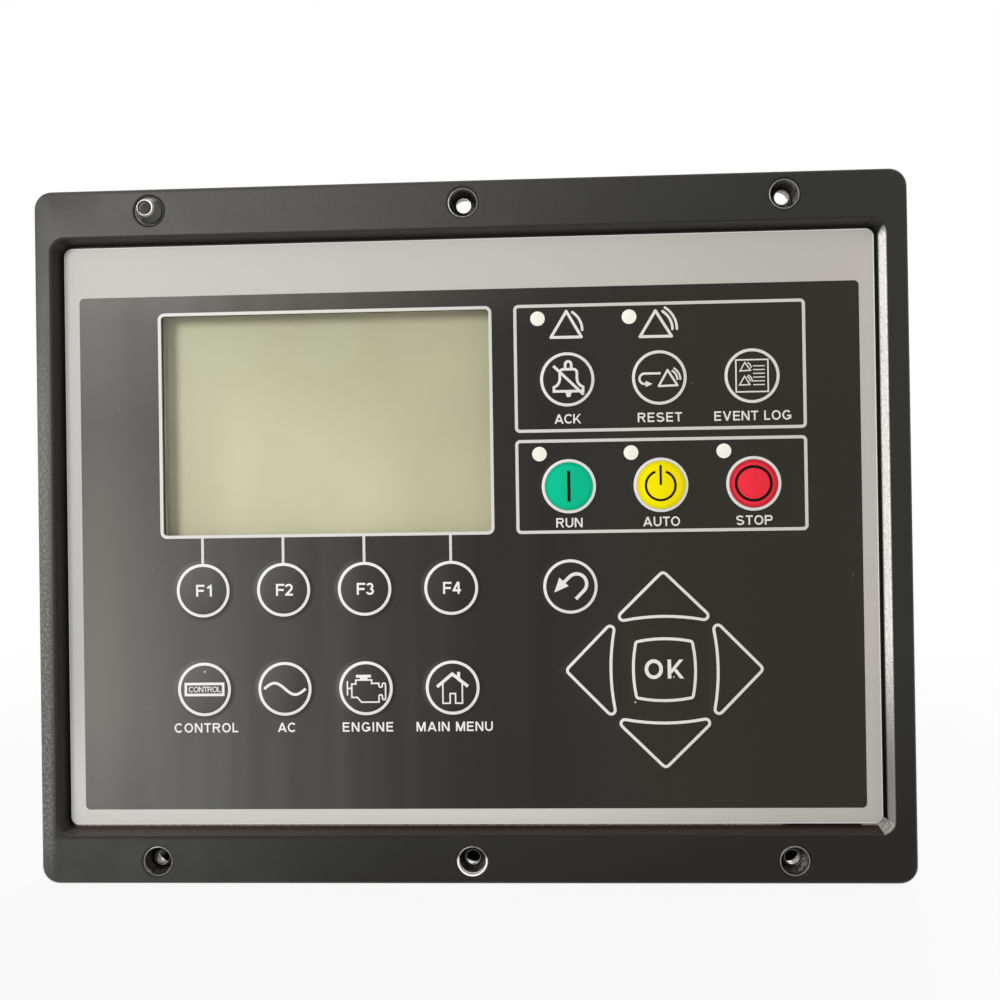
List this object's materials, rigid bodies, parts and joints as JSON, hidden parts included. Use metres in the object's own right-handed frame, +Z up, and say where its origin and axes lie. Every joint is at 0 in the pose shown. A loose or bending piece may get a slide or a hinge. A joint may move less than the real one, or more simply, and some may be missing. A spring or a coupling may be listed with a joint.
{
  "type": "engine control panel",
  "caption": "Flat generator-engine control panel: black moulded frame, recessed membrane keypad with display and lamps, and a boxed rear with wiring sockets.",
  "frame": {"origin": "centre of the six mounting holes, on the flange's rear seating face", "axes": "+X to the right of a person facing the keypad, +Y to the rear, +Z up"},
  "size_m": [0.304, 0.0679, 0.244],
  "materials": {
    "bezel": "black moulded plastic, fine grain",
    "film": "light grey printed film, fine texture",
    "field_ink": "black ink on textured film",
    "white_ink": "white ink",
    "green_ink": "green ink",
    "yellow_ink": "yellow ink",
    "red_ink": "red ink",
    "black_ink": "black ink",
    "lamp_ink": "translucent cream ink",
    "lens": "clear plate",
    "gasket_foam": "olive foam strip with adhesive",
    "cell": "yellow-green liquid-crystal cell",
    "tin_plate": "blackened sheet steel",
    "diffuser": "white diffuser",
    "spacer_film": "clear polyester with adhesive",
    "circuit_film": "polyester with printed tracks",
    "spring_steel": "stainless spring steel",
    "socket_resin": "natural nylon",
    "clear_resin": "clear acrylic",
    "lamp_resin": "clear resin",
    "board": "green solder mask on glass-fibre board",
    "zinc_steel": "zinc-plated steel",
    "black_resin": "black glass-filled nylon",
    "chip_resin": "black moulding compound",
    "can_sleeve": "blue plastic sleeve on aluminium cans",
    "cell_steel": "nickel-plated steel",
    "gold_plate": "gold-plated brass",
    "brass": "machined brass",
    "seal_rubber": "closed-cell rubber",
    "red_rubber": "silicone rubber",
    "housing_resin": "black glass-filled nylon",
    "sleeve_steel": "dull plated steel",
    "bush_steel": "bright turned steel"
  },
  "bodies": {
    "root": {"front_bezel": "bezel", "overlay_film": "film", "field_print": "field_ink", "panel_lines": "white_ink", "key_rings": "white_ink", "key_symbols": "white_ink", "run_key": "green_ink", "auto_key": "yellow_ink", "stop_key": "red_ink", "key_marks": "black_ink", "lamp_windows": "lamp_ink", "display_lens": "lens", "display_gasket": "gasket_foam", "display_glass": "cell", "display_frame": "tin_plate", "display_backlight": "diffuser", "dome_spacer": "spacer_film", "snap_domes": "spring_steel", "keypad_circuit": "circuit_film", "keypad_tail": "circuit_film", "tail_socket": "socket_resin", "light_pipes": "clear_resin", "status_lamps": "lamp_resin", "front_board": "board", "board_screws": "zinc_steel", "link_header": "black_resin", "main_board": "board", "main_board_screws": "zinc_steel", "processor_chips": "chip_resin", "capacitors": "can_sleeve", "clock_battery": "cell_steel", "main_header": "black_resin", "main_pins": "gold_plate", "aux_header": "black_resin", "aux_pins": "gold_plate", "jack_nuts": "brass", "header_seals": "red_rubber", "service_socket": "black_resin", "service_pins": "gold_plate", "socket_nut": "zinc_steel", "rear_housing": "housing_resin", "housing_screws": "zinc_steel", "housing_seal": "seal_rubber", "panel_seal": "seal_rubber", "mounting_sleeves": "sleeve_steel", "mounting_bushes": "bush_steel", "breather_plug": "black_resin", "earth_stud": "zinc_steel", "earth_nuts": "zinc_steel"}
  },
  "joints": []
}
